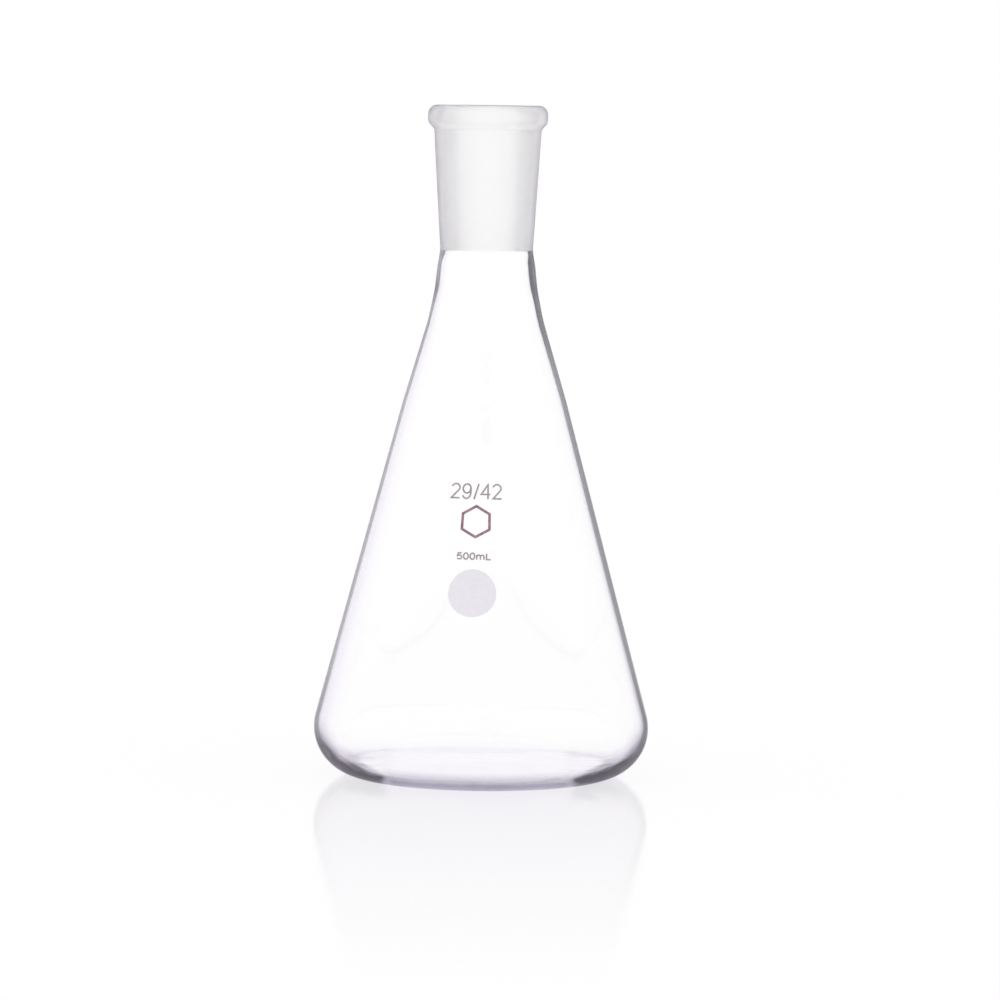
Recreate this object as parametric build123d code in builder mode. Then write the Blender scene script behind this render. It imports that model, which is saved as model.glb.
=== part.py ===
from build123d import *
from math import asin, atan2, cos, hypot, sin, tan
import os

# Conical laboratory flask of 500 ml, blown in one piece of clear glass, with a ground taper
# socket in its neck and a rolled bead at its rim. Millimetres, +Z up. It stands on z = 0 and
# its axis is the Z axis. A "radius" is a distance from the axis, and a "rounding" is the
# radius of a rounded corner of the section.

# Whole flask
overall_height = 205.1
body_diameter = 102.5
heel_rounding = 15.0

# Underside: a flat ring that the flask stands on, round a shallow push-up
ring_width = 9.2
push_up_height = 1.1
push_up_flat_diameter = 10.0

# Ground socket: a 1 in 10 taper, 29.2 wide at its large end and 42 long
socket_diameter = 29.2
socket_length = 42.0
socket_taper = 0.1

# Mouth above the ground part
mouth_depth = 2.1
mouth_flare = 0.35
mouth_bevel = 0.5
rim_flat = 0.15

# Rolled bead round the rim
bead_height = 7.3
bead_overhang = 1.9
bead_slope_height = 2.1
bead_edge_rounding = 2.6
bead_root_rounding = 1.6

# Seal: the waist under the socket and the slightly swollen collar below it
seal_length = 5.0
seal_swell = 0.85
waist_rounding = 12.0
relief_depth = 0.35
relief_length = 1.4
collar_length = 6.7
collar_flare = 0.7
collar_rounding = 40.0

# Where the cone runs into the neck: it draws in a little faster from the shoulder to the throat
throat_length = 9.3
throat_flare = 1.85
throat_rounding = 60.0
shoulder_length = 25.0
shoulder_flare = 7.45

# Glass thickness
base_wall = 2.5
heel_wall = 2.2
body_wall = 1.25
collar_wall = 1.45
socket_bottom_wall = 1.6
socket_top_wall = 2.0

# Heights, worked out downwards from the rim
socket_top = overall_height - mouth_depth
bead_root = overall_height - bead_height
socket_bottom = socket_top - socket_length
collar_top = socket_bottom - seal_length
collar_bottom = collar_top - collar_length
throat = collar_bottom - throat_length
shoulder = throat - shoulder_length

# Radii, worked out from the socket's bore
socket_top_radius = socket_diameter / 2
socket_bottom_radius = socket_top_radius - socket_length * socket_taper / 2
mouth_radius = socket_top_radius + mouth_flare
root_bore_radius = socket_top_radius - (socket_top - bead_root) * socket_taper / 2
root_radius = root_bore_radius + socket_top_wall
bead_radius = root_radius + bead_overhang
waist_radius = socket_bottom_radius + socket_bottom_wall
collar_top_radius = waist_radius + seal_swell
collar_bottom_radius = collar_top_radius + collar_flare
throat_radius = collar_bottom_radius + throat_flare
shoulder_radius = throat_radius + shoulder_flare

# The bead's upper rounding takes all of the rim that the mouth's bevel and the flat leave
rim_radius = mouth_radius + mouth_bevel
bead_top_rounding = bead_radius - rim_radius - rim_flat

# The cone's side leaves the heel's arc at a tangent and runs straight up to the shoulder
heel_centre = body_diameter / 2 - heel_rounding
run_in = heel_centre - shoulder_radius
run_up = shoulder - heel_rounding
cone_angle = atan2(run_in, run_up) + asin(heel_rounding / hypot(run_in, run_up))

# Where the lines of the cone's two sides meet the planes of the base and of the floor
base_corner = heel_centre + heel_rounding * (1 + sin(cone_angle)) / cos(cone_angle)
level_wall = body_wall / cos(cone_angle)
floor_corner = base_corner - level_wall - base_wall * tan(cone_angle)

# The push-up rises on a slope from the inside of the ring to a flat centre
ring_inner_radius = heel_centre - ring_width
push_up_radius = push_up_flat_diameter / 2

# Corners of the glass as (radius, height, rounding)
outside_upwards = [
    (base_corner, 0, heel_rounding),
    (shoulder_radius, shoulder, 0),
    (throat_radius, throat, throat_rounding),
    (collar_bottom_radius, collar_bottom, collar_rounding),
    (collar_top_radius, collar_top, 0),
    (waist_radius, socket_bottom, waist_rounding),
    (root_radius, bead_root, bead_root_rounding),
    (bead_radius, bead_root + bead_slope_height, bead_edge_rounding),
    (bead_radius, overall_height, bead_top_rounding),
]
inside_downwards = [
    (rim_radius, overall_height, 0),
    (mouth_radius, overall_height - mouth_bevel, 0),
    (socket_top_radius, socket_top, 0),
    (socket_bottom_radius, socket_bottom, 0),
    (socket_bottom_radius + relief_depth, socket_bottom - relief_length, 0),
    (collar_bottom_radius - collar_wall, collar_bottom, collar_rounding),
    (throat_radius - level_wall, throat, throat_rounding),
    (shoulder_radius - level_wall, shoulder, 0),
    (floor_corner, base_wall, heel_rounding - heel_wall),
]
corners = outside_upwards + inside_downwards

with BuildPart() as flask:
    with BuildSketch(Plane.XZ):
        with BuildLine():
            # The glass from the ring that it stands on, over the rim, to the floor inside
            ring_edge = (ring_inner_radius, 0)
            floor_edge = (ring_inner_radius, base_wall)
            FilletPolyline(
                ring_edge,
                *[(radius, height) for radius, height, rounding in corners],
                floor_edge,
                radius=[rounding for radius, height, rounding in corners],
            )
            # The push-up, its upper side and the axis
            underside_centre = (0, push_up_height)
            floor_centre = (0, push_up_height + base_wall)
            Polyline(ring_edge, (push_up_radius, push_up_height), underside_centre)
            Polyline(floor_edge, (push_up_radius, push_up_height + base_wall), floor_centre)
            Line(underside_centre, floor_centre)
        make_face()
    revolve(axis=Axis.Z)

flask.part.label = "flask"

os.makedirs("parts", exist_ok=True)
export_step(flask.part, "parts/flask.step")
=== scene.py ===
import bmesh
import bpy
from math import acos, asin, atan2, ceil, cos, hypot, pi, radians, sin, tan
from mathutils import Matrix, Vector
from mathutils import noise


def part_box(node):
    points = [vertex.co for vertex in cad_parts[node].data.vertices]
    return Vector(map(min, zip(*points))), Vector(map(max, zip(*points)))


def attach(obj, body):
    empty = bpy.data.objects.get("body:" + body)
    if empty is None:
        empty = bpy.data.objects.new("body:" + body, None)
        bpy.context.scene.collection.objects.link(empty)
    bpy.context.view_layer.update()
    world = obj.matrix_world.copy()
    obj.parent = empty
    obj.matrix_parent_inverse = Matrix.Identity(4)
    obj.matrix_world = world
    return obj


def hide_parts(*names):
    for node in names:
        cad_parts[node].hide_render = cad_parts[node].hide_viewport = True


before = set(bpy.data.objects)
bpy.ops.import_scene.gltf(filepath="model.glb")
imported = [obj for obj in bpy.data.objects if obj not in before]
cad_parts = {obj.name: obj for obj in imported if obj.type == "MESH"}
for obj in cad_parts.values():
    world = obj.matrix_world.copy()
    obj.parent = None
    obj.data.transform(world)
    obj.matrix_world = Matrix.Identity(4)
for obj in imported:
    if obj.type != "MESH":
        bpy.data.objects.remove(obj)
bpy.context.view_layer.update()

# A clear glass flask of 500 ml with a ground socket, standing on a white floor in even white
# light. Sections, marks and their sizes are in millimetres, and all else is in metres.
MM = 0.001


# Camera: 1.6 m in front of the flask, level with its rim and a little to the right
camera_place = Vector((0.0050, -1.6, 0.212))
camera_lens = 188.91
camera_sensor = 36
camera_pitch = 0.07936
camera_roll = 0.0120
camera_near = 0.05
camera_far = 200

camera_data = bpy.data.cameras.new("camera")
camera_data.lens = camera_lens
camera_data.sensor_width = camera_sensor
camera_data.clip_start = camera_near
camera_data.clip_end = camera_far
camera = bpy.data.objects.new("camera", camera_data)
camera.matrix_world = (
    Matrix.Translation(camera_place)
    @ Matrix.Rotation(radians(90) - camera_pitch, 4, "X")
    @ Matrix.Rotation(camera_roll, 4, "Z")
)
bpy.context.scene.collection.objects.link(camera)
bpy.context.scene.camera = camera


# The flask's section, from the frame's height and width and from the dimensions of the glass,
# as in the solid. A "radius" is a distance from the axis.
flask_low, flask_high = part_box("flask")
overall_height = flask_high[2] / MM
body_diameter = (flask_high[0] - flask_low[0]) / MM
heel_rounding = 15.0
ring_width = 9.2
push_up_height = 1.1
push_up_flat_diameter = 10.0
socket_diameter = 29.2
socket_length = 42.0
socket_taper = 0.1
mouth_depth = 2.1
mouth_flare = 0.35
mouth_bevel = 0.5
rim_flat = 0.15
bead_height = 7.3
bead_overhang = 1.9
bead_slope_height = 2.1
bead_edge_rounding = 2.6
bead_root_rounding = 1.6
seal_length = 5.0
seal_swell = 0.85
waist_rounding = 12.0
relief_depth = 0.35
relief_length = 1.4
collar_length = 6.7
collar_flare = 0.7
collar_rounding = 40.0
throat_length = 9.3
throat_flare = 1.85
throat_rounding = 60.0
shoulder_length = 25.0
shoulder_flare = 7.45
base_wall = 2.5
heel_wall = 2.2
body_wall = 1.25
collar_wall = 1.45
socket_bottom_wall = 1.6
socket_top_wall = 2.0

# Small roundings that only the eye needs
soft_rounding = 60
push_up_rounding = 180
ring_rounding = 150
swell_rounding = 5
bevel_rounding = 0.3
relief_rounding = 1.0

socket_top = overall_height - mouth_depth
bead_root = overall_height - bead_height
socket_bottom = socket_top - socket_length
collar_top = socket_bottom - seal_length
collar_bottom = collar_top - collar_length
throat = collar_bottom - throat_length
shoulder = throat - shoulder_length

socket_top_radius = socket_diameter / 2
socket_bottom_radius = socket_top_radius - socket_length * socket_taper / 2
mouth_radius = socket_top_radius + mouth_flare
root_bore_radius = socket_top_radius - (socket_top - bead_root) * socket_taper / 2
root_radius = root_bore_radius + socket_top_wall
bead_radius = root_radius + bead_overhang
waist_radius = socket_bottom_radius + socket_bottom_wall
collar_top_radius = waist_radius + seal_swell
collar_bottom_radius = collar_top_radius + collar_flare
throat_radius = collar_bottom_radius + throat_flare
shoulder_radius = throat_radius + shoulder_flare
rim_radius = mouth_radius + mouth_bevel
bead_top_rounding = bead_radius - rim_radius - rim_flat

heel_centre = body_diameter / 2 - heel_rounding
run_in = heel_centre - shoulder_radius
run_up = shoulder - heel_rounding
cone_angle = atan2(run_in, run_up) + asin(heel_rounding / hypot(run_in, run_up))
base_corner = heel_centre + heel_rounding * (1 + sin(cone_angle)) / cos(cone_angle)
level_wall = body_wall / cos(cone_angle)
floor_corner = base_corner - level_wall - base_wall * tan(cone_angle)
ring_inner_radius = heel_centre - ring_width
push_up_radius = push_up_flat_diameter / 2

# Surfaces, in the order of the flask's materials
OUTSIDE, INSIDE, GROUND, SOCKET_OUTSIDE = range(4)

# Corners of the section as (radius, height, rounding, surface that starts there), from the
# middle of the underside over the rim to the middle of the floor inside
section = [
    (0, push_up_height, 0, OUTSIDE),
    (push_up_radius, push_up_height, push_up_rounding, OUTSIDE),
    (ring_inner_radius, 0, ring_rounding, OUTSIDE),
    (base_corner, 0, heel_rounding, OUTSIDE),
    (shoulder_radius, shoulder, soft_rounding, OUTSIDE),
    (throat_radius, throat, throat_rounding, OUTSIDE),
    (collar_bottom_radius, collar_bottom, collar_rounding, OUTSIDE),
    (collar_top_radius, collar_top, swell_rounding, OUTSIDE),
    (waist_radius, socket_bottom, waist_rounding, OUTSIDE),
    (root_radius, bead_root, bead_root_rounding, OUTSIDE),
    (bead_radius, bead_root + bead_slope_height, bead_edge_rounding, OUTSIDE),
    (bead_radius, overall_height, bead_top_rounding, OUTSIDE),
    (rim_radius, overall_height, 0, GROUND),
    (mouth_radius, overall_height - mouth_bevel, bevel_rounding, GROUND),
    (socket_top_radius, socket_top, 0, GROUND),
    (socket_bottom_radius, socket_bottom, 0, INSIDE),
    (socket_bottom_radius + relief_depth, socket_bottom - relief_length, relief_rounding, INSIDE),
    (collar_bottom_radius - collar_wall, collar_bottom, collar_rounding, INSIDE),
    (throat_radius - level_wall, throat, throat_rounding, INSIDE),
    (shoulder_radius - level_wall, shoulder, soft_rounding, INSIDE),
    (floor_corner, base_wall, heel_rounding - heel_wall, INSIDE),
    (ring_inner_radius, base_wall, ring_rounding, INSIDE),
    (push_up_radius, push_up_height + base_wall, push_up_rounding, INSIDE),
    (0, push_up_height + base_wall, 0, INSIDE),
]

straight_step = 2.2
arc_step = 0.9
arc_least = 5


def run(start, end, surface):
    """Points from start up to, but not with, end."""
    steps = max(1, ceil(hypot(end[0] - start[0], end[1] - start[1]) / straight_step))
    return [
        (start[0] + (end[0] - start[0]) * i / steps, start[1] + (end[1] - start[1]) * i / steps, surface)
        for i in range(steps)
    ]


def rounded(corners):
    """The section's line with its corners rounded, as (radius, height, surface) points."""
    points, here, surface = [], corners[0][:2], corners[0][3]
    for before, corner, after in zip(corners, corners[1:], corners[2:]):
        x, z, rounding, next_surface = corner
        to_before = Vector((before[0] - x, before[1] - z)).normalized()
        to_after = Vector((after[0] - x, after[1] - z)).normalized()
        turn = pi - acos(max(-1, min(1, to_before.dot(to_after))))
        if rounding <= 0 or turn < 1e-4:
            points += run(here, (x, z), surface)
            here, surface = (x, z), next_surface
            continue
        reach = rounding * tan(turn / 2)
        start = Vector((x, z)) + to_before * reach
        end = Vector((x, z)) + to_after * reach
        centre = Vector((x, z)) + (to_before + to_after).normalized() * hypot(reach, rounding)
        first = atan2(*(start - centre).yx)
        sweep = (atan2(*(end - centre).yx) - first + pi) % (2 * pi) - pi
        points += run(here, start, surface)
        steps = max(arc_least, ceil(abs(sweep) * rounding / arc_step))
        for i in range(steps):
            at = first + sweep * i / steps
            points.append((centre.x + rounding * cos(at), centre.y + rounding * sin(at), surface))
        here, surface = tuple(end), next_surface
    points += run(here, corners[-1][:2], surface)
    points.append((*corners[-1][:2], surface))
    return points


# Blown glass is a little uneven inside: thicker on the +X side, wavering where the socket is
# sealed on, and rippled where it chilled against the mould. Zones are from nothing to full.
lean_body = 0.20
lean_neck = 0.35
body_waver = 0.08
seal_waver = 0.22
base_ripple = 0.16
base_fine_ripple = 0.09
plate_share = 0.25
above_heel_zone = (12, 45)
neck_zone = (118, 140)
seal_start_zone = (136, 142)
seal_end_zone = (156, 160)
base_end_zone = (3, 14)
plate_end_zone = (30, 38)
uneven_top = socket_bottom - relief_length - 0.5
plate_top = base_wall + push_up_height + 1.5


def step(value, start, end):
    """0 before start, 1 after end, smooth between them."""
    t = max(0, min(1, (value - start) / (end - start)))
    return t * t * (3 - 2 * t)


def wall_change(x, y, radius, height):
    """How much nearer to the outside the inner surface lies than the section says."""
    above_heel = step(height, *above_heel_zone)
    lean = lean_body + (lean_neck - lean_body) * step(height, *neck_zone)
    change = -lean * above_heel * x / radius
    change += body_waver * above_heel * noise.noise(Vector((x * 0.03, y * 0.03, height * 0.02 + 3.3)))
    seal = step(height, *seal_start_zone) * (1 - step(height, *seal_end_zone))
    change += seal_waver * seal * noise.noise(Vector((x * 0.06, y * 0.06, height * 0.16 + 7.1)))
    base = 1 - step(height, *base_end_zone)
    base *= plate_share + (1 - plate_share) * step(radius, *plate_end_zone)
    broad = noise.noise(Vector((x * 0.035, y * 0.05, height * 0.30 + 1.3)))
    fine = noise.noise(Vector((x * 0.13, y * 0.20, height * 0.45 + 9.0)))
    return change + base * (base_ripple * broad + base_fine_ripple * fine)


turns = 240
sharp_angle = radians(32)


def lathe(name, points, materials):
    """A smooth closed mesh of revolution about the Z axis, uneven on its inside."""
    build = bmesh.new()
    rings = []
    for radius, height, surface in points:
        if radius < 1e-6:
            rings.append([build.verts.new((0, 0, height * MM))])
            continue
        ring = []
        for i in range(turns):
            angle = 2 * pi * i / turns
            x, y = radius * cos(angle), radius * sin(angle)
            uneven = surface == INSIDE and height < uneven_top
            grow = wall_change(x, y, radius, height) if uneven else 0
            if height < plate_top:
                ring.append(build.verts.new((x * MM, y * MM, (height - grow) * MM)))
            else:
                scale = (radius + grow) / radius
                ring.append(build.verts.new((x * scale * MM, y * scale * MM, height * MM)))
        rings.append(ring)
    for here, after, point in zip(rings, rings[1:], points):
        for i in range(turns):
            j = (i + 1) % turns
            if len(here) == 1:
                face = build.faces.new((here[0], after[j], after[i]))
            elif len(after) == 1:
                face = build.faces.new((here[i], here[j], after[0]))
            else:
                face = build.faces.new((here[i], here[j], after[j], after[i]))
            face.material_index = point[2]
            face.smooth = True
    mesh = mesh_from(name, build)
    mesh.set_sharp_from_angle(angle=sharp_angle)
    for material in materials:
        mesh.materials.append(material)
    return add_piece(name, mesh)


def mesh_from(name, build):
    """The mesh of a finished build, with its faces turned outwards."""
    bmesh.ops.recalc_face_normals(build, faces=build.faces)
    mesh = bpy.data.meshes.new(name)
    build.to_mesh(mesh)
    build.free()
    return mesh


def add_piece(name, mesh):
    piece = bpy.data.objects.new(name, mesh)
    bpy.context.scene.collection.objects.link(piece)
    return piece


class Surface:
    """A node material, and short calls that add its nodes."""

    def __init__(self, name):
        self.material = bpy.data.materials.new(name)
        self.material.use_nodes = True
        self.nodes = self.material.node_tree.nodes
        self.nodes.clear()
        self.output = self.nodes.new("ShaderNodeOutputMaterial")

    def feed(self, socket, value):
        """Joins a socket to another node, or sets it to a number, a vector or a colour."""
        if isinstance(value, bpy.types.NodeSocket):
            self.material.node_tree.links.new(value, socket)
        elif socket.type == "RGBA":
            socket.default_value = (*value, 1)
        else:
            socket.default_value = value

    def node(self, kind, inputs=(), **settings):
        made = self.nodes.new(kind)
        for name, value in settings.items():
            setattr(made, name, value)
        for name, value in dict(inputs).items():
            self.feed(made.inputs[name], value)
        return made

    def math(self, operation, *values):
        return self.node("ShaderNodeMath", enumerate(values), operation=operation).outputs[0]

    def between(self, value, start, end, low=0.0, high=1.0, shape="SMOOTHSTEP"):
        """Low before start, high after end, and a smooth or straight change between them."""
        limits = {"Value": value, "From Min": start, "From Max": end, "To Min": low, "To Max": high}
        return self.node("ShaderNodeMapRange", limits, interpolation_type=shape).outputs["Result"]

    def mix_colours(self, factor, a, b, blend="MIX"):
        made = self.node("ShaderNodeMix", data_type="RGBA", blend_type=blend)
        for name, value in (("Factor", factor), ("A", a), ("B", b)):
            self.feed(made.inputs[name], value)
        return made.outputs["Result"]

    def ramp(self, value, stops):
        """The colour of a value among (position, colour) stops."""
        made = self.node("ShaderNodeValToRGB", {"Fac": value})
        elements = made.color_ramp.elements
        while len(elements) > 1:
            elements.remove(elements[-1])
        elements[0].position, elements[0].color = stops[0][0], (*stops[0][1], 1)
        for position, colour in stops[1:]:
            elements.new(position).color = (*colour, 1)
        return made.outputs["Color"]

    def place(self):
        """Where the point is, in the flask's own metres."""
        return self.node("ShaderNodeTexCoord").outputs["Object"]

    def noise(self, place, scale, detail):
        inputs = {"Vector": place, "Scale": scale, "Detail": detail}
        return self.node("ShaderNodeTexNoise", inputs).outputs["Fac"]

    def light_path(self):
        return self.node("ShaderNodeLightPath").outputs

    def glass(self, tint, roughness, inputs=()):
        inputs = {"Color": tint, "Roughness": roughness, "IOR": glass_ior, **dict(inputs)}
        return self.node("ShaderNodeBsdfGlass", inputs).outputs["BSDF"]

    def straight_through(self, tint):
        return self.node("ShaderNodeBsdfTransparent", {"Color": tint}).outputs["BSDF"]

    def mix_shaders(self, factor, a, b):
        made = self.node("ShaderNodeMixShader", {"Fac": factor})
        self.feed(made.inputs[1], a)
        self.feed(made.inputs[2], b)
        return made.outputs["Shader"]

    def finish(self, shader):
        self.feed(self.output.inputs["Surface"], shader)
        return self.material


# Glass
white = (1, 1, 1)
glass_ior = 1.47
# Painted shade at the glass's grazing edges: its change from the lit -X side to the shaded +X side, and
# its growth at the neck and the foot
lit_to_shaded_side = (-0.012, 0.012)
neck_start, neck_full = 0.120, 0.142
foot_start, foot_full = 0.040, 0.014
cone_strength = 0.8

# The heel: painted shade on its round band, darkest at the flask's two sides, and pale and streaked in its
# middle
heel_start, heel_full = 0.017, 0.009
plate_start, plate_full = 0.0405, 0.036
middle_off_axis = 0.0004
middle_end, sides_start = 0.0258, 0.0298
middle_shade = 0.04
streak_stretch = (90, 90, 420)
streak_range = (0.42, 0.62)
streak_shade = 0.12
plate_tint = (0.985, 0.975, 0.995)
turns_in_glass = 3.5
foot_band = 0.007
# Painted grey-violet shade over the heel's lowest few millimetres, by height
painted_foot_band_stops = [
    (0.00, (0.86, 0.84, 0.89)),
    (0.08, (0.62, 0.60, 0.68)),
    (0.24, (0.50, 0.48, 0.56)),
    (0.36, (0.45, 0.43, 0.51)),
    (0.44, (0.58, 0.56, 0.63)),
    (0.62, (0.68, 0.66, 0.73)),
    (0.82, (0.88, 0.87, 0.91)),
    (1.00, (1, 1, 1)),
]

# What the glass lets through to the floor and the print
clear_light = (0.985, 0.982, 0.988)
ground_light = (0.93, 0.925, 0.935)

# Ground glass: a fine grain, and a share of clear sight through it where it faces the eye
grain_scale = 2500
grain_strength = 0.3
grain_depth = 0.00005
clear_share = 0.42
clear_end, clear_full = 0.64, 0.20


def let_light_through(surface, glass, light, thick_part=None):
    """The glass shader, with the light for the floor and the print passing straight through.
    In the thick part, so does the light that has already turned several times in the glass."""
    path = surface.light_path()
    straight_on = path["Is Diffuse Ray"]
    if thick_part is not None:
        many_turns = surface.math("GREATER_THAN", path["Ray Depth"], turns_in_glass)
        straight_on = surface.math(
            "MAXIMUM", straight_on, surface.math("MULTIPLY", many_turns, thick_part))
    return surface.mix_shaders(straight_on, glass, surface.straight_through(light))


def glass_with_painted_shade(name, shaded_side_stops, lit_side_stops, heel_stops, painted_reflection_shade=None):
    """Clear glass with painted grey-violet shade at its grazing edges, for the dark surroundings that such
    edges would refract and mirror. The painted shade is stronger on the +X side, for the weaker light
    there, at the neck and towards the heel."""
    surface = Surface(name)
    math, between, mix = surface.math, surface.between, surface.mix_colours
    fresnel = surface.node("ShaderNodeFresnel", {"IOR": glass_ior}).outputs["Fac"]
    # Painted shade ramps by grazing angle: for the shaded +X side, the lit -X side and the heel
    thick, thin, heel = (surface.ramp(fresnel, stops) for stops in (shaded_side_stops, lit_side_stops, heel_stops))
    place = surface.place()
    split = surface.node("ShaderNodeSeparateXYZ", {"Vector": place})
    x, y, z = (split.outputs[axis] for axis in "XYZ")

    side = between(x, *lit_to_shaded_side)
    neck = between(z, neck_start, neck_full, cone_strength, 1.0)
    foot = between(z, foot_start, foot_full, 0.0, 1.0 - cone_strength)
    body_painted_shade = mix(math("ADD", neck, foot), white, mix(side, thin, thick))

    across = math("ABSOLUTE", math("ADD", x, middle_off_axis))
    # Painted shade on the heel band: strong at the two sides, weak and streaked in the middle
    stretched = surface.node("ShaderNodeMapping", {"Vector": place, "Scale": streak_stretch})
    streaks = between(surface.noise(stretched.outputs["Vector"], 1.0, 2.0), *streak_range)
    middle = math("MULTIPLY_ADD", streaks, streak_shade, middle_shade)
    shade = math("MAXIMUM", between(across, middle_end, sides_start), middle)
    radius = math("SQRT", math("ADD", math("MULTIPLY", x, x), math("MULTIPLY", y, y)))
    plate = between(radius, plate_start, plate_full)
    heel_painted_shade = mix(plate, mix(shade, white, heel), plate_tint)
    low = between(z, heel_start, heel_full)
    tint = mix(low, body_painted_shade, heel_painted_shade)

    # Painted shade: seen by camera rays, the lowest band of the heel is darkened grey-violet in its middle
    path = surface.light_path()
    in_middle = between(across, sides_start, middle_end)
    painted_foot_band = surface.ramp(between(z, 0.0, foot_band, shape="LINEAR"), painted_foot_band_stops)
    tint = mix(math("MULTIPLY", path["Is Camera Ray"], in_middle), tint, painted_foot_band, "MULTIPLY")

    if painted_reflection_shade is not None:
        # Painted shade in the reflection: what the floor mirrors of the flask is drawn a little darker
        # than the flask itself
        outside_glass = math("LESS_THAN", path["Transmission Depth"], 0.5)
        tint = mix(math("MULTIPLY", path["Is Glossy Ray"], outside_glass), tint, painted_reflection_shade)
    glass = surface.glass(tint, 0)
    return surface.finish(let_light_through(surface, glass, clear_light, math("MULTIPLY", low, in_middle)))


def clear_outside():
    # Painted grey-violet shade at the outer surface's grazing edges
    return glass_with_painted_shade("clear_glass_outside", [
        (0.18, (1, 1, 1)),
        (0.28, (0.82, 0.81, 0.84)),
        (0.42, (0.58, 0.56, 0.61)),
        (0.80, (0.58, 0.56, 0.61)),
        (0.97, (0.90, 0.90, 0.92)),
    ], [
        (0.22, (1, 1, 1)),
        (0.34, (0.88, 0.86, 0.90)),
        (0.50, (0.70, 0.68, 0.73)),
        (0.80, (0.72, 0.70, 0.75)),
        (0.97, (0.95, 0.95, 0.96)),
    ], [
        (0.10, (1, 1, 1)),
        (0.22, (0.70, 0.68, 0.74)),
        (0.40, (0.50, 0.47, 0.55)),
        (0.80, (0.50, 0.47, 0.55)),
        (0.97, (0.85, 0.84, 0.88)),
    ], painted_reflection_shade=(0.68, 0.63, 0.74))


def clear_inside():
    # Painted grey-violet shade at the inner surface's grazing edges, darkest at the most grazing angles
    return glass_with_painted_shade("clear_glass_inside", [
        (0.05, (1, 1, 1)),
        (0.16, (0.992, 0.988, 0.995)),
        (0.35, (0.95, 0.94, 0.96)),
        (0.70, (0.78, 0.76, 0.81)),
        (0.97, (0.40, 0.38, 0.44)),
        (0.995, (0.12, 0.11, 0.14)),
    ], [
        (0.07, (1, 1, 1)),
        (0.13, (0.985, 0.975, 0.995)),
        (0.22, (0.955, 0.94, 0.975)),
        (0.60, (0.93, 0.91, 0.955)),
        (0.97, (0.55, 0.53, 0.60)),
        (0.995, (0.30, 0.28, 0.34)),
    ], [
        (0.05, (1, 1, 1)),
        (0.30, (0.94, 0.92, 0.95)),
        (0.70, (0.75, 0.72, 0.78)),
        (0.97, (0.40, 0.38, 0.45)),
        (0.995, (0.35, 0.33, 0.40)),
    ])


def rough_glass(name, roughness, stops):
    """Frosted glass with painted shade that darkens it towards its grazing edges."""
    surface = Surface(name)
    facing = surface.node("ShaderNodeLayerWeight", {"Blend": 0.5}).outputs["Facing"]
    grain = surface.noise(surface.place(), grain_scale, 3)
    bump = surface.node("ShaderNodeBump", {
        "Strength": grain_strength, "Distance": grain_depth, "Height": grain})
    # Painted shade: the colour darkens with the grazing angle
    glass = surface.glass(surface.ramp(facing, stops), roughness, {"Normal": bump.outputs["Normal"]})
    clear = surface.between(facing, clear_end, clear_full, 0.0, clear_share)
    return surface.finish(surface.mix_shaders(
        clear, let_light_through(surface, glass, ground_light), surface.straight_through(white)))


def ground():
    return rough_glass("ground_glass", 0.55, [
        (0.0, (1.0, 1.0, 1.0)),
        (0.45, (0.995, 0.985, 0.995)),
        (0.75, (0.76, 0.74, 0.78)),
        (1.0, (0.56, 0.545, 0.59)),
    ])


def socket_outside():
    return rough_glass("rolled_bead_glass", 0.35, [
        (0.0, (1.0, 0.995, 1.0)),
        (0.55, (0.97, 0.965, 0.975)),
        (0.85, (0.77, 0.75, 0.795)),
        (1.0, (0.54, 0.52, 0.57)),
    ])


# The outer surface turns frosted at the socket's lower end
frosted_start = socket_bottom - 0.05
points = [
    (radius, height, SOCKET_OUTSIDE if surface == OUTSIDE and height > frosted_start else surface)
    for radius, height, surface in rounded(section)
]
flask = lathe("flask_glass", points, [clear_outside(), clear_inside(), ground(), socket_outside()])
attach(flask, "root")
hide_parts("flask")


# Printed marks, laid on the cone's outer side
mark_turn = radians(-3.9)
print_middle = 75.0
print_tilt = radians(0.8)
print_lift = 0.03
print_thickness = 0.03
longest_run = 0.8


def cone_radius(height):
    """The outer radius of the cone's straight side at a height."""
    low_radius = heel_centre + heel_rounding * cos(cone_angle)
    low_height = heel_rounding * (1 + sin(cone_angle))
    return low_radius + (shoulder_radius - low_radius) * (height - low_height) / (shoulder - low_height)


def lay_on_cone(mesh, middle_height, middle_across):
    """Bends a flat mesh, drawn in millimetres, onto the cone, facing -Y."""
    radius = cone_radius(middle_height)
    for vertex in mesh.vertices:
        u, v, w = vertex.co
        u, v = middle_across + u, (middle_height - print_middle) / cos(cone_angle) + v
        u, v = u * cos(print_tilt) + v * sin(print_tilt), v * cos(print_tilt) - u * sin(print_tilt)
        height = print_middle + v * cos(cone_angle)
        here = cone_radius(height)
        angle = mark_turn + u / radius
        out = (here + (print_lift + w) / cos(cone_angle)) * MM
        vertex.co = (out * sin(angle), -out * cos(angle), height * MM)
    mesh.update()


def ink(name, colour, worn_colour):
    """Baked-on print with slight wear."""
    surface = Surface(name)
    wear = surface.noise(surface.place(), 900, 4)
    tone = surface.ramp(wear, [(0.35, colour), (0.65, worn_colour)])
    shader = surface.node("ShaderNodeBsdfPrincipled", {"Roughness": 0.55, "Base Color": tone})
    return surface.finish(shader.outputs["BSDF"])


def place_mark(name, mesh, material, height, across):
    lay_on_cone(mesh, height, across)
    mesh.materials.append(material)
    piece = add_piece(name, mesh)
    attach(piece, "root")


def bow(x, y, rx, ry, first, last, count=18):
    """Points along an ellipse's arc, from one angle to another in degrees."""
    return [
        (x + rx * cos(radians(first + (last - first) * i / count)),
         y + ry * sin(radians(first + (last - first) * i / count)))
        for i in range(count + 1)
    ]


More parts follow.
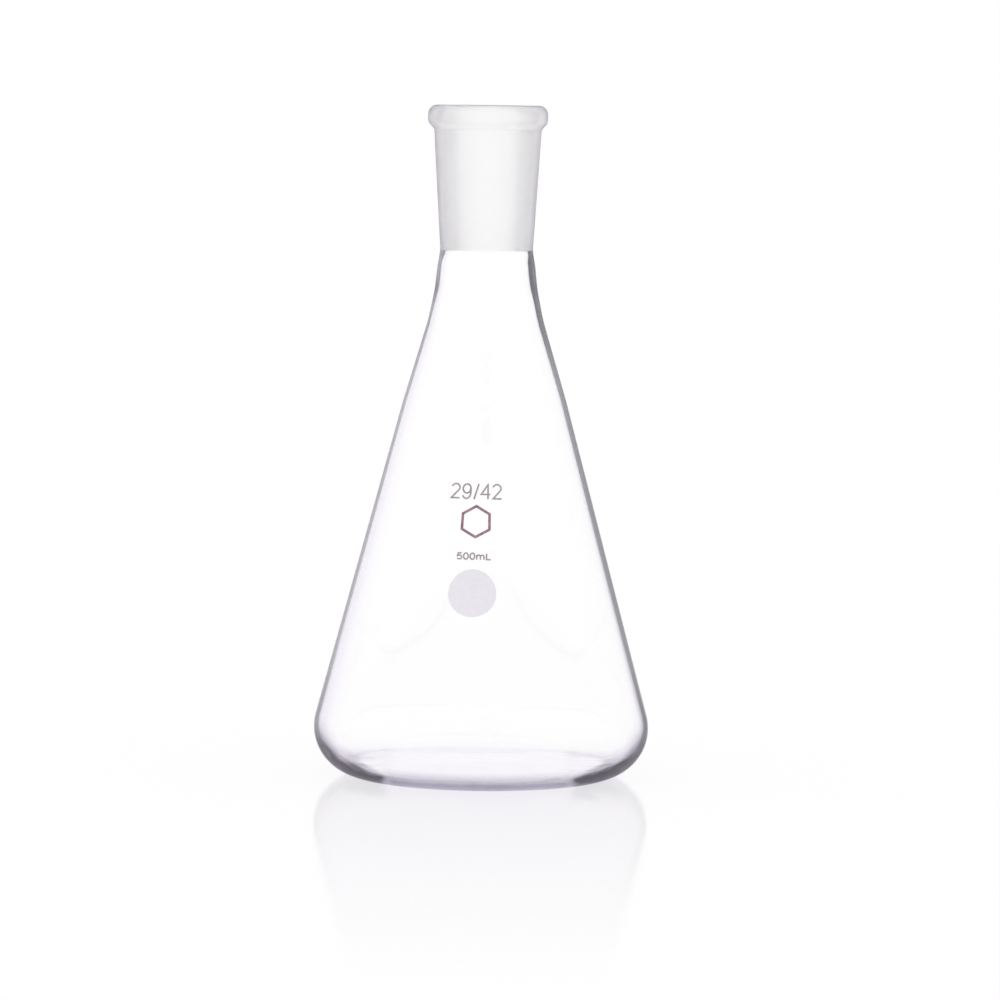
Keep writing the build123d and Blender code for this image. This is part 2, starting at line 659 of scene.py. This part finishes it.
# Plain upright figures and letters, as lines a unit high: width and strokes
glyphs = {
    "2": (0.62, [bow(0.29, 0.72, 0.25, 0.25, 165, -38) + [(0.05, 0.03), (0.56, 0.03)]]),
    "9": (0.62, [bow(0.29, 0.67, 0.245, 0.30, 0, 360), bow(0.27, 0.42, 0.265, 0.41, 35, -150)]),
    "/": (0.36, [[(0.04, -0.03), (0.31, 1.0)]]),
    "4": (0.62, [[(0.44, 0.0), (0.44, 0.97), (0.03, 0.31), (0.58, 0.31)]]),
    "5": (0.62, [[(0.51, 0.97), (0.15, 0.97), (0.09, 0.52)] + bow(0.29, 0.32, 0.255, 0.30, 125, -150)]),
    "0": (0.62, [bow(0.30, 0.5, 0.245, 0.48, 0, 360, 28)]),
    "m": (0.94, [
        [(0.08, 0.0), (0.08, 0.72)],
        bow(0.27, 0.48, 0.19, 0.22, 180, 0) + [(0.46, 0.0)],
        bow(0.65, 0.48, 0.19, 0.22, 180, 0) + [(0.84, 0.0)],
    ]),
    "L": (0.56, [[(0.10, 0.98), (0.10, 0.03), (0.53, 0.03)]]),
}
least_mitre = 0.45


def ribbon(build, points, width):
    """A flat thin solid along a line, square at its ends and mitred at its corners."""
    closed = hypot(points[0][0] - points[-1][0], points[0][1] - points[-1][1]) < 1e-6
    if closed:
        points = points[:-1]
    count = len(points)
    sides = []
    for i, (x, y) in enumerate(points):
        before = points[i - 1] if i > 0 or closed else None
        after = points[(i + 1) % count] if i < count - 1 or closed else None
        normals = []
        for a, b in ((before, (x, y)), ((x, y), after)):
            if a is not None and b is not None:
                along = Vector((b[0] - a[0], b[1] - a[1])).normalized()
                normals.append(Vector((-along.y, along.x)))
        normal = sum(normals, Vector((0, 0))).normalized()
        grow = width / 2 / max(least_mitre, normal.dot(normals[0]))
        sides.append((Vector((x, y)) + normal * grow, Vector((x, y)) - normal * grow))
    low, high = -print_thickness / 2, print_thickness / 2
    rings = [
        [build.verts.new((*left, low)), build.verts.new((*right, low)),
         build.verts.new((*right, high)), build.verts.new((*left, high))]
        for left, right in sides
    ]
    pairs = zip(rings, rings[1:] + rings[:1]) if closed else zip(rings, rings[1:])
    for here, after in pairs:
        for k in range(4):
            m = (k + 1) % 4
            build.faces.new((here[k], here[m], after[m], after[k]))
    if not closed:
        build.faces.new(rings[0][::-1])
        build.faces.new(rings[-1])


def divided(points):
    """The line with points added so that its runs are short enough to bend round the cone."""
    made = [points[0]]
    for a, b in zip(points, points[1:]):
        parts = max(1, ceil(hypot(b[0] - a[0], b[1] - a[1]) / longest_run))
        made += [(a[0] + (b[0] - a[0]) * i / parts, a[1] + (b[1] - a[1]) * i / parts)
                 for i in range(1, parts + 1)]
    return made


def words(name, text, size, total_width, widen, stroke):
    """A row of signs, size high and total_width wide, with each sign widened."""
    natural = sum(glyphs[sign][0] for sign in text) * widen
    gap = (total_width / size - natural) / (len(text) - 1)
    build = bmesh.new()
    at = -total_width / 2
    for sign in text:
        width, strokes = glyphs[sign]
        for line in strokes:
            placed = [(at + u * widen * size, (v - 0.5) * size) for u, v in line]
            ribbon(build, divided(placed), stroke)
        at += (width * widen + gap) * size
    return mesh_from(name, build)


def hexagon(name, radius, stroke):
    corners = [(radius * sin(pi / 3 * i), radius * cos(pi / 3 * i)) for i in range(6)]
    build = bmesh.new()
    ribbon(build, divided(corners + corners[:1]), stroke)
    return mesh_from(name, build)


def disc(name, radius, rings=7, sides=72):
    """A thin round disc, divided so that it can bend round the cone."""
    build = bmesh.new()
    rims = []
    for level in (-print_thickness / 2, print_thickness / 2):
        middle = build.verts.new((0, 0, level))
        last = None
        for k in range(1, rings + 1):
            reach = radius * k / rings
            ring = [
                build.verts.new((reach * cos(2 * pi * i / sides), reach * sin(2 * pi * i / sides), level))
                for i in range(sides)
            ]
            for i in range(sides):
                j = (i + 1) % sides
                inner = (middle,) if last is None else (last[j], last[i])
                build.faces.new((*inner, ring[i], ring[j]))
            last = ring
        rims.append(last)
    low, high = rims
    for i in range(sides):
        j = (i + 1) % sides
        build.faces.new((low[i], low[j], high[j], high[i]))
    return mesh_from(name, build)


brown_ink = ink("brown_ink", (0.30, 0.24, 0.25), (0.40, 0.34, 0.35))
maroon_ink = ink("maroon_ink", (0.24, 0.12, 0.15), (0.36, 0.23, 0.26))
white_enamel = ink("white_enamel", (0.80, 0.78, 0.83), (0.83, 0.81, 0.86))

joint_size = words("joint_size_marking", "29/42", size=4.6, total_width=15.5, widen=1.06, stroke=0.50)
place_mark("joint_size_marking", joint_size, brown_ink, height=89.8, across=-0.1)
plain_mark = hexagon("plain_marking", radius=4.7, stroke=0.80)
place_mark("plain_marking", plain_mark, maroon_ink, height=80.9, across=0.1)
capacity = words("capacity_marking", "500mL", size=1.95, total_width=10.3, widen=1.45, stroke=0.46)
place_mark("capacity_marking", capacity, brown_ink, height=70.7, across=-0.1)
place_mark("marking_spot", disc("marking_spot", radius=7.25), white_enamel, height=59.9, across=-0.1)


# Floor: white, polished near the flask, and plain shadowless white far from it
floor_drop = 0.00005
floor_size = 60.0
polish_share = 0.24
polish_roughness = 0.10
polish_end, polish_full = 0.42, 0.03
backdrop_start, backdrop_full = 0.30, 0.90

floor_surface = Surface("white_floor")
from_flask = floor_surface.node("ShaderNodeVectorMath", {0: floor_surface.place()}, operation="LENGTH")
distance = from_flask.outputs["Value"]
matt = floor_surface.node("ShaderNodeBsdfDiffuse", {"Color": white}).outputs["BSDF"]
gloss = floor_surface.node("ShaderNodeBsdfGlossy", {"Color": white, "Roughness": polish_roughness})
polish = floor_surface.between(distance, polish_end, polish_full, 0.0, polish_share)
polished = floor_surface.mix_shaders(polish, matt, gloss.outputs["BSDF"])
backdrop = floor_surface.node("ShaderNodeEmission", {"Color": white, "Strength": 1.0})
far = floor_surface.between(distance, backdrop_start, backdrop_full)

floor_mesh = bpy.data.meshes.new("floor")
floor_mesh.from_pydata(
    [(x * floor_size, y * floor_size, -floor_drop) for x, y in ((-1, -1), (1, -1), (1, 1), (-1, 1))],
    [], [(0, 1, 2, 3)],
)
floor_mesh.materials.append(
    floor_surface.finish(floor_surface.mix_shaders(far, polished, backdrop.outputs["Emission"])))
add_piece("floor", floor_mesh)

# Even white light from all round
world = bpy.data.worlds.new("world")
world.use_nodes = True
bpy.context.scene.world = world
background = world.node_tree.nodes["Background"]
background.inputs["Color"].default_value = (1, 1, 1, 1)
background.inputs["Strength"].default_value = 1.0

bpy.context.scene.view_settings.view_transform = "Standard"
